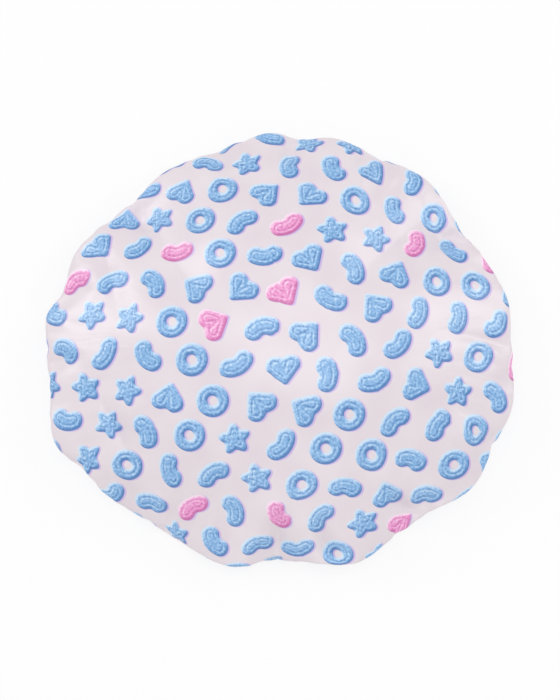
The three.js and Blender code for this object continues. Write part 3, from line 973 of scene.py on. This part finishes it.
# Spun polyester thread: pale pink, matt, with the slanting ply of a twisted yarn
def spunThread():
    material, tree = newMaterial("spunPolyesterThread")
    put = partial(addNode, tree)
    place = put("VectorMath", {0: put("TexCoord").outputs["Object"], "Scale": 1 / mm}, operation="SCALE")
    ply = put("TexWave", {"Vector": place, "Scale": 1 / yarn["ply"], "Distortion": 1.5},
              bands_direction="DIAGONAL")
    # painted shade: the low parts between the plies are coloured darker, as the shade that falls in them
    colour = colourRamp(tree, ply.outputs["Fac"], ("#d8c9d1", "#efe4ea"), (0.1, 0.8))
    bump = put("Bump", {"Strength": 0.5, "Distance": yarn["depth"], "Height": ply.outputs["Fac"]})
    surface = put("BsdfPrincipled", {"Base Color": colour, "Roughness": 0.7, "Normal": bump,
                                     "Sheen Weight": 0.3})
    put("OutputMaterial", {"Surface": surface})
    return material


thread = spunThread()
shell.data.materials.append(printedSatin())
lining.data.materials.append(liningFilm())
for node, material in (("elastic_band", knittedElastic()), ("elastic_lap_stitch", thread)):
    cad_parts[node].data.materials.clear()
    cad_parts[node].data.materials.append(material)
print("materials made")

# Lockstitch rows: short stitches on the shell's underside and on the lining, sunk at both ends
stitches = {
    "length": 2.9 * mm,
    "gap": 0.5 * mm,
    "thick": 0.42 * mm,
    "sides": 6,
    "steps": 7,
    "sink": 0.28 * mm,  # depth of a stitch's ends in the cloth
    "proud": 0.35,  # share of its thickness by which its middle line stands above the cloth
    "taper": 0.45,  # share of its thickness lost at the ends
    "dots": 8,  # places on the cloth for each stitch and its gap
    "seenFrom": (-5 * mm, 25 * mm),  # heights from which the hem's lower and upper faces are found
    "edgeInset": 2.5 * mm,  # edge row to the mouth's edge
}


# follows one face of a layer round the mouth: dots of the row and the way out of the cloth there
def faceRow(layer, radius, fromBelow, count):
    corners, polygons = layer.data.vertices, layer.data.polygons
    tree = BVHTree.FromPolygons([v.co for v in corners], [p.vertices[:] for p in polygons])
    below, above = stitches["seenFrom"]
    dots, outs = [], []
    for turn in np.arange(count) / count * 2 * np.pi:
        x, y = centre + radius * np.array([math.cos(turn), math.sin(turn)])
        start = Vector((x, y, below if fromBelow else above))
        spot, normal, *_ = tree.ray_cast(start, Vector((0, 0, 1 if fromBelow else -1)))
        if (normal.z > 0) == fromBelow:
            normal = -normal
        dots.append(np.array(spot))
        outs.append(np.array(normal))
    return np.array(dots), np.array(outs)


# one stitch: a tube along its path, thinner at the ends; base is the number of its first point
def stitchTube(path, out, share, base):
    steps, sides = stitches["steps"], stitches["sides"]
    ahead = np.gradient(path, axis=0)
    ahead /= np.linalg.norm(ahead, axis=1)[:, None]
    side = np.cross(ahead, out)
    points, faces = [], []
    for j in range(steps):
        width = stitches["thick"] / 2 * (1 - stitches["taper"] * (2 * share[j] - 1) ** 6)
        for s in range(sides):
            turn = 2 * math.pi * s / sides
            points.append(path[j] + width * (math.cos(turn) * side[j] + math.sin(turn) * out[j]))
    for j in range(steps - 1):
        for s in range(sides):
            a, b = base + j * sides + s, base + j * sides + (s + 1) % sides
            faces.append((a, a + sides, b + sides, b))
    last = base + (steps - 1) * sides
    faces.append([base + s for s in range(sides)])
    faces.append([last + s for s in reversed(range(sides))])
    return points, faces


def sewRow(name, node, radius, layersAndSides):
    points, faces = [], []
    pitch = stitches["length"] + stitches["gap"]
    fine = stitches["dots"]
    count = round(2 * math.pi * radius / pitch)
    part = stitches["length"] / pitch * fine
    share = np.linspace(0, 1, stitches["steps"])
    proud = stitches["thick"] * stitches["proud"]
    lift = proud - (stitches["sink"] + proud) * (2 * share - 1) ** 4
    for layer, fromBelow in layersAndSides:
        dots, outs = faceRow(layer, radius, fromBelow, count * fine)
        for k in range(count):
            at = (k * fine + share * part) % (count * fine)
            low = at.astype(int)
            high, mixed = (low + 1) % len(dots), (at - low)[:, None]
            path = dots[low] * (1 - mixed) + dots[high] * mixed
            out = outs[low] * (1 - mixed) + outs[high] * mixed
            tubePoints, tubeFaces = stitchTube(path + out * lift[:, None], out, share, len(points))
            points += tubePoints
            faces += tubeFaces
    mesh = bpy.data.meshes.new(name)
    mesh.from_pydata([tuple(p) for p in points], [], faces)
    mesh.polygons.foreach_set("use_smooth", np.ones(len(faces), bool))
    mesh.materials.append(thread)
    row = bpy.data.objects.new(name, mesh)
    scene.collection.objects.link(row)
    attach(row, "root")
    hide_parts(node)
    print(name, len(faces), "faces")


bothFaces = ((shell, True), (lining, False))
sewRow("casingStitches", "casing_stitch_row", rowRadius - stitches["thick"], bothFaces)
sewRow("edgeStitches", "edge_stitch_row", mouthRadius + stitches["edgeInset"], bothFaces)
